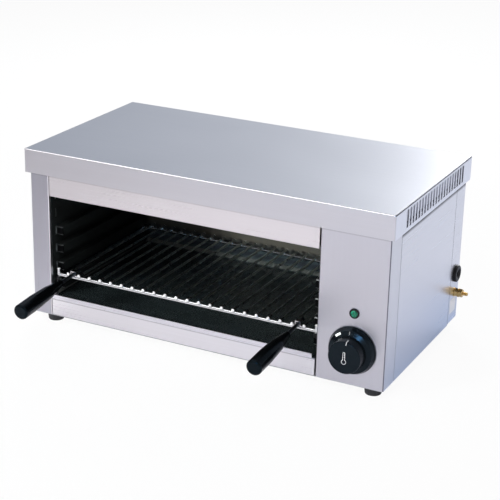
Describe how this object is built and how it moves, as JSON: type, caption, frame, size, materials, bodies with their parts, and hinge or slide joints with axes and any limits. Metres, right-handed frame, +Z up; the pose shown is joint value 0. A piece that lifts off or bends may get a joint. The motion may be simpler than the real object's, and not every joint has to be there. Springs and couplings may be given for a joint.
{
  "type": "cheese melter",
  "caption": "Countertop electric cheese melter: open-front stainless steel grill box with elements under the roof, pull-out wire shelf with two handles, crumb tray and heat control.",
  "frame": {"origin": "on the counter, under the middle of the lid's plan", "axes": "+X to the right along the width, +Y to the back, +Z up; the open front faces -Y"},
  "size_m": [0.616, 0.4419, 0.283],
  "materials": {
    "stainless_panels": "brushed, fine straight grain along each sheet",
    "stainless_lid": "brushed, fine straight grain along the lid",
    "galvanised_steel": "zinc-coated, dull",
    "cavity_enamel": "baked dark enamel, slightly glossy",
    "tray_enamel": "baked dark enamel, glossy",
    "reflector_aluminium": "bright rolled aluminium",
    "element_sheath": "heat-darkened sheath",
    "bracket_steel": "heat-dulled",
    "chromed_wire": "bright plated",
    "zinc_fasteners": "bright zinc",
    "brass": "turned, slightly tarnished",
    "black_phenolic": "moulded, satin gloss",
    "black_nylon": "moulded, fine satin",
    "green_lens": "clear tinted acrylic",
    "neon_glass": "clear",
    "ceramic_insulator": "unglazed, off-white",
    "mineral_wool": "matted fibre",
    "foot_rubber": "moulded, matt"
  },
  "bodies": {
    "cabinet": {"top_cover": "stainless_lid", "vent_baffles": "galvanised_steel", "left_front_post": "stainless_panels", "control_panel": "stainless_panels", "upper_front_rail": "stainless_panels", "lower_front_rail": "stainless_panels", "left_side_panel": "stainless_panels", "right_side_panel": "stainless_panels", "back_panel": "stainless_panels", "base_panel": "galvanised_steel", "liner_left": "cavity_enamel", "liner_right": "cavity_enamel", "liner_back": "cavity_enamel", "heat_reflector": "reflector_aluminium", "tray_runner_left": "galvanised_steel", "tray_runner_right": "galvanised_steel", "heating_element_front": "element_sheath", "heating_element_middle": "element_sheath", "heating_element_rear": "element_sheath", "element_brackets": "bracket_steel", "element_insulators": "ceramic_insulator", "element_studs": "zinc_fasteners", "roof_insulation": "mineral_wool", "rear_insulation": "mineral_wool", "left_insulation": "mineral_wool", "right_insulation": "mineral_wool", "compartment_shield": "galvanised_steel", "thermostat_body": "galvanised_steel", "thermostat_tabs": "brass", "thermostat_screws": "zinc_fasteners", "pilot_lamp_bezel": "black_nylon", "pilot_lamp_lens": "green_lens", "pilot_lamp_neon": "neon_glass", "pilot_lamp_nut": "black_nylon", "terminal_block": "ceramic_insulator", "cable_bush": "black_nylon", "cable_bush_locknut": "black_nylon", "bonding_stud": "brass", "bonding_nuts": "brass", "bonding_washers": "brass", "foot_front_left": "foot_rubber", "foot_front_right": "foot_rubber", "foot_rear_left": "foot_rubber", "foot_rear_right": "foot_rubber", "foot_screws": "zinc_fasteners", "foot_nuts": "zinc_fasteners", "lid_screws": "zinc_fasteners", "back_panel_screws": "zinc_fasteners"},
    "shelf": {"shelf_grid": "chromed_wire", "handle_saddles": "chromed_wire", "handle_shank_left": "chromed_wire", "handle_shank_right": "chromed_wire", "handle_grip_left": "black_phenolic", "handle_grip_right": "black_phenolic"},
    "tray": {"crumb_tray": "tray_enamel", "tray_lip": "stainless_panels"},
    "knob": {"control_knob": "black_phenolic", "thermostat_spindle": "zinc_fasteners"}
  },
  "joints": [
    {"name": "shelf_slide", "type": "slide", "parent": "cabinet", "child": "shelf", "axis": [0, -1, 0], "range_m": [0, 0.29]},
    {"name": "tray_slide", "type": "slide", "parent": "cabinet", "child": "tray", "axis": [0, -1, 0], "range_m": [0, 0.3]},
    {"name": "knob_turn", "type": "hinge", "parent": "cabinet", "child": "knob", "pos_m": [0.2445, -0.151, 0.071], "axis": [0, 1, 0], "range_deg": [0, 300]}
  ]
}
